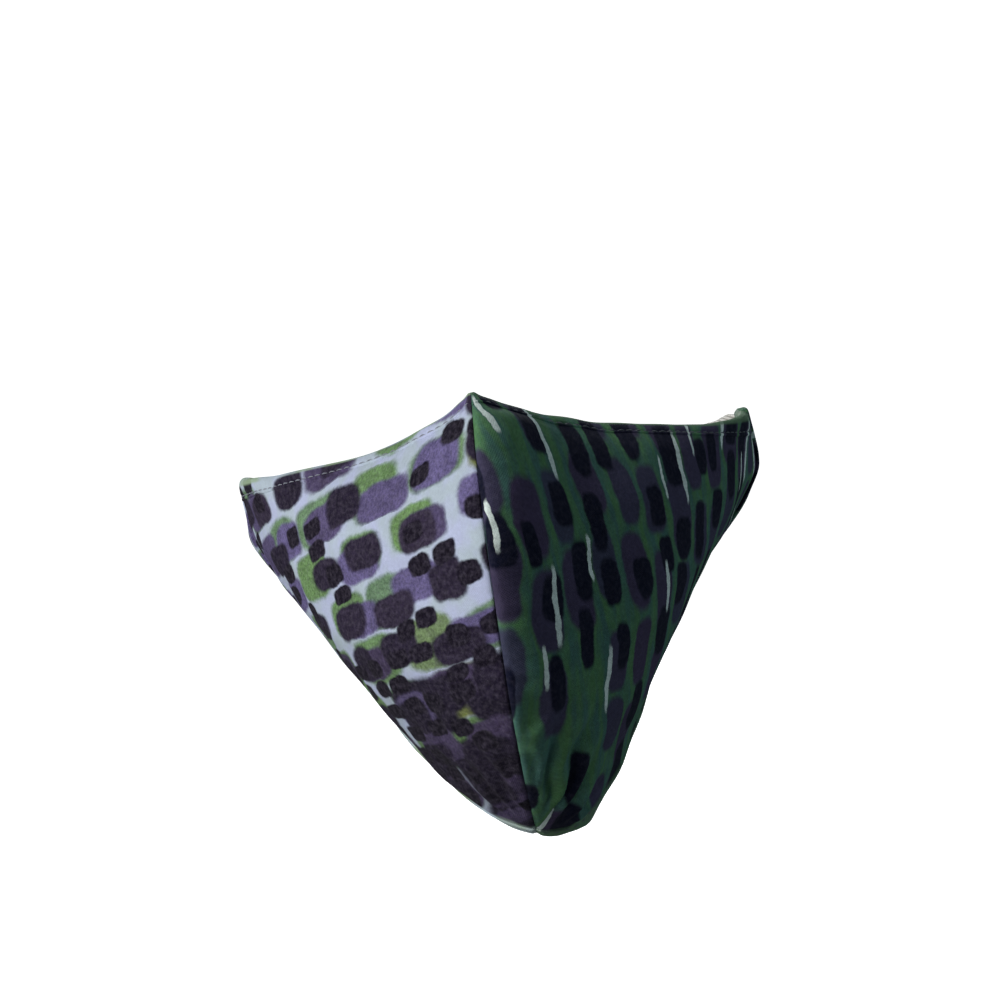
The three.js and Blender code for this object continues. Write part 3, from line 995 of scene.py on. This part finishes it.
def spline_through(points, count):
    """Evenly spaced points on a smooth curve through some points, and the curve's length."""
    first, last = 2 * points[0] - points[1], 2 * points[-1] - points[-2]
    p = np.concatenate([[first], points, [last]])
    knots = np.concatenate([[0], np.sqrt(np.linalg.norm(np.diff(p, axis=0), axis=-1)).cumsum()])
    pieces = []
    for i in range(1, len(p) - 2):
        t = np.linspace(knots[i], knots[i + 1], CURVE_STEPS, endpoint=False)[:, None]
        t0, t1, t2, t3 = knots[i - 1 : i + 3]
        a1 = (t1 - t) / (t1 - t0) * p[i - 1] + (t - t0) / (t1 - t0) * p[i]
        a2 = (t2 - t) / (t2 - t1) * p[i] + (t - t1) / (t2 - t1) * p[i + 1]
        a3 = (t3 - t) / (t3 - t2) * p[i + 1] + (t - t2) / (t3 - t2) * p[i + 2]
        b1 = (t2 - t) / (t2 - t0) * a1 + (t - t0) / (t2 - t0) * a2
        b2 = (t3 - t) / (t3 - t1) * a2 + (t - t1) / (t3 - t1) * a3
        pieces.append((t2 - t) / (t2 - t1) * b1 + (t - t1) / (t2 - t1) * b2)
    curve = np.concatenate([*pieces, points[-1:]])
    walked = walked_along(curve)
    return values_at(np.linspace(0, walked[-1], count), walked, curve), walked[-1]


def loop_end(half, t):
    """Where a loop leaves the side hem, and its direction there."""
    s, t = np.array([1.0]), np.array([t])
    middle = face(half, s, t) - outward(half, s, t) * HEM_WALL / 2
    leave = along(half, s, t, NUDGE, 0)
    return (middle + leave * GAP)[0], leave[0]


def loop_line(half):
    """The loop's centre line: as long as the real loop, from the side hem round the ear and back."""
    upper, leave_upper = loop_end(half, LOOP_TOP_SHARE)
    lower, leave_lower = loop_end(half, LOOP_BOTTOM_SHARE)
    rear = ROWS[half]["sign"] * (MASK_WIDTH / 2 - LOOP_INSET)
    reach = LOOP_LENGTH / 3
    for _ in range(FITTING_ROUNDS):
        points = []
        for back, height, out in LOOP_ROUTE:
            start = lower + (upper - lower) * height
            points.append([start[0] + (rear - start[0]) * out, start[1] + back * reach, start[2]])
        points.insert(1, upper + leave_upper * ELASTIC_WIDTH / 3)
        points.insert(-1, lower + leave_lower * ELASTIC_WIDTH / 3)
        line, length = spline_through(np.array(points), LOOP_POINTS)
        reach += (LOOP_LENGTH - length) / 2
    return line


def elastic_profile():
    """The elastic's section, as points across its width and its wall."""
    profile = []
    for k in range(LOOP_SIDES):
        a = math.tau * k / LOOP_SIDES
        x = math.copysign(abs(math.cos(a)) ** SIDE_SQUARE, math.cos(a)) * ELASTIC_WIDTH / 2
        y = math.copysign(abs(math.sin(a)) ** FACE_SQUARE, math.sin(a)) * ELASTIC_WALL / 2
        rib = 1 - RIB_DEPTH * math.cos(math.tau * x / RIB_PITCH)
        profile.append((x, y * rib))
    return profile


def loop_width(half, run):
    """The way across the elastic's width at each point: along the side hem's edge at both ends,
    and flat against the head behind the ear."""
    side = np.array([1.0, 0, 0])
    across = unit(side - run * (run @ side)[:, None])
    up = np.cross(across, run)
    u = np.linspace(0, 1, LOOP_POINTS)
    from_end = np.minimum(u, 1 - u)
    twist = (smooth(from_end, *TWIST) * math.pi / 2)[:, None]
    width = up * np.cos(twist) + across * np.sin(twist)
    for rows, share in ((u < 0.5, LOOP_TOP_SHARE), (u >= 0.5, LOOP_BOTTOM_SHARE)):
        edge = along(half, np.array([1.0]), np.array([share]), 0, NUDGE)[0]
        edges = np.where((width[rows] @ edge)[:, None] < 0, -edge, edge)
        blend = smooth(from_end[rows], 0, FOLLOWS_HEM)[:, None]
        width[rows] = unit(edges * (1 - blend) + width[rows] * blend)
    return width


def build_loop(half):
    """An ear loop of braided elastic with its ends sewn into the side hem."""
    line = loop_line(half)
    run = unit(np.gradient(line, axis=0))
    width = loop_width(half, run)
    wall = unit(np.cross(run, width))
    line[0] -= run[0] * SEWN_IN
    line[-1] += run[-1] * SEWN_IN
    profile = elastic_profile()
    points, flat = [], []
    for i, distance in enumerate(walked_along(line)):
        wave = 1 + STRAND_DEPTH * math.sin(distance * math.tau / STRAND_PITCH)
        for x, y in profile:
            points.append(line[i] + width[i] * x + wall[i] * y * wave)
            flat.append((distance, x + math.copysign(ELASTIC_WIDTH, y)))
    faces = []
    for start in range(0, (LOOP_POINTS - 1) * LOOP_SIDES, LOOP_SIDES):
        for k in range(LOOP_SIDES):
            a, b = start + k, start + (k + 1) % LOOP_SIDES
            faces.append((a, b, b + LOOP_SIDES, a + LOOP_SIDES))
    faces.append(tuple(range(LOOP_SIDES - 1, -1, -1)))
    faces.append(tuple(range((LOOP_POINTS - 1) * LOOP_SIDES, LOOP_POINTS * LOOP_SIDES)))
    kinds = np.zeros(len(faces))
    layers = (("cloth", np.array(flat)),)
    piece = make_mesh(f"elastic_ear_loop_{half}", points, faces, kinds, [ELASTIC], layers)
    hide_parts(f"ear_loop_{half}")


for half, neighbour in (("right", "cloth_panel_left"), ("left", "cloth_panel_right")):
    panel = build_panel(half)
    edges = [
        *build_hem(half, "top_hem", TOP_HEM, False),
        *build_hem(half, "bottom_hem", BOTTOM_HEM, True),
        *build_side_hem(half),
    ]
    build_loop(half)


# Camera, light and floor

# The camera's direction from the mask and its roll in degrees, what it aims at, how far away it is,
# its sensor in millimetres and its lens as a share of that
AZIMUTH = 2.42
ELEVATION = 5
ROLL = -8.33
TARGET = Vector((3.04, 0, -26.66)) * MM
DISTANCE = 0.4
SENSOR = 36
LENS = 1.706

# Each lamp's name, place, aim, size, power and tint: a soft key from the left front, a cool fill
# from the right, one from behind for the inner faces, and a weak one from below
MIDDLE = (0, 0.02, -0.05)
LAMPS = (
    ("key", (-0.76, -0.53, 0.5), MIDDLE, 0.3, 9.5, (1.0, 0.98, 0.96)),
    ("fill", (1.1, 0.2, 0.15), MIDDLE, 0.6, 2.1, (0.74, 0.92, 1.0)),
    ("rear", (0, 1.2, 0.4), (0, 0.05, -0.05), 0.7, 7, (0.92, 0.96, 1.0)),
    ("low", (-0.4, -0.45, -0.26), (0, 0.01, -0.1), 0.3, 0.65, (1.0, 0.98, 0.94)),
)
SKY_TINT = (0.8, 0.94, 1.0, 1.0)
SKY = 0.1

# The stage: the floor's height, the radius and height of the wall round it, the bend between them,
# and the number of steps in a bend and in a turn
FLOOR = -0.3
STAGE_RADIUS = 2.0
STAGE_HEIGHT = 2.6
STAGE_BEND = 0.6
BEND_STEPS = 12
STAGE_TURNS = 72


def place_camera():
    """The camera, at the photo's angle and distance."""
    azimuth, elevation, roll = (math.radians(v) for v in (AZIMUTH, ELEVATION, ROLL))
    back = Vector(
        (
            math.sin(azimuth) * math.cos(elevation),
            -math.cos(azimuth) * math.cos(elevation),
            math.sin(elevation),
        )
    )
    right = (-back).cross(Vector((0, 0, 1))).normalized()
    up = right.cross(-back)
    across = math.cos(roll) * right + math.sin(roll) * up
    above = -math.sin(roll) * right + math.cos(roll) * up
    camera = bpy.data.objects.new("camera", bpy.data.cameras.new("camera"))
    camera.data.sensor_width = SENSOR
    camera.data.lens = LENS * SENSOR
    camera.data.clip_start = 0.01
    turn = Matrix((across, above, back)).transposed().to_4x4()
    camera.matrix_world = Matrix.Translation(TARGET + back * DISTANCE) @ turn
    SCENE.collection.objects.link(camera)
    SCENE.camera = camera


def area_light(name, place, aim, size, power, tint):
    light = bpy.data.lights.new(name, "AREA")
    light.shape = "DISK"
    light.size = size
    light.energy = power
    light.color = tint
    lamp = bpy.data.objects.new(name, light)
    lamp.location = place
    lamp.rotation_euler = (Vector(aim) - Vector(place)).to_track_quat("-Z", "Y").to_euler()
    SCENE.collection.objects.link(lamp)


def light_scene():
    """The lamps, and a dim light from all round."""
    world = bpy.data.worlds.new("studio")
    world.use_nodes = True
    background = world.node_tree.nodes["Background"]
    background.inputs["Color"].default_value = SKY_TINT
    background.inputs["Strength"].default_value = SKY
    SCENE.world = world
    for lamp in LAMPS:
        area_light(*lamp)


def pale_stage():
    """A round pale floor that turns up into a wall on all sides. It glows a little and lights
    nothing, so that the mask is lit by the lamps alone."""
    profile = [(0.4, FLOOR), (0.9, FLOOR)]
    for i in range(BEND_STEPS + 1):
        a = math.pi / 2 * i / BEND_STEPS
        out = STAGE_RADIUS - STAGE_BEND + STAGE_BEND * math.sin(a)
        profile.append((out, FLOOR + STAGE_BEND - STAGE_BEND * math.cos(a)))
    profile.append((STAGE_RADIUS, FLOOR + STAGE_HEIGHT))
    points = []
    for k in range(STAGE_TURNS):
        a = math.tau * k / STAGE_TURNS
        points += [(r * math.cos(a), r * math.sin(a), z) for r, z in profile]
    middle, n = len(points), len(profile)
    points.append((0, 0, FLOOR))
    faces = []
    for k in range(STAGE_TURNS):
        here, there = k * n, (k + 1) % STAGE_TURNS * n
        faces.append((middle, here, there))
        faces += [(here + i, here + i + 1, there + i + 1, there + i) for i in range(n - 1)]
    mesh = bpy.data.meshes.new("stage")
    mesh.from_pydata(points, [], faces)
    mesh.polygons.foreach_set("use_smooth", np.ones(len(faces), bool))
    g = Shader("stage_white")
    place = g.node("ShaderNodeTexCoord").outputs["Object"]
    surface = {
        "Base Color": g.mix(g.noise(place, 3.0)["Fac"], (0.78, 0.78, 0.79, 1), (0.82, 0.82, 0.82, 1)),
        "Roughness": 0.9,
        "Emission Color": (1.0, 1.0, 1.0, 1.0),
        "Emission Strength": 1.0,
    }
    mesh.materials.append(g.finish(surface))
    stage = bpy.data.objects.new("stage", mesh)
    SCENE.collection.objects.link(stage)
    stage.visible_diffuse = False
    stage.visible_glossy = False
    stage.visible_shadow = False


place_camera()
light_scene()
pale_stage()
SCENE.view_settings.view_transform = "Standard"
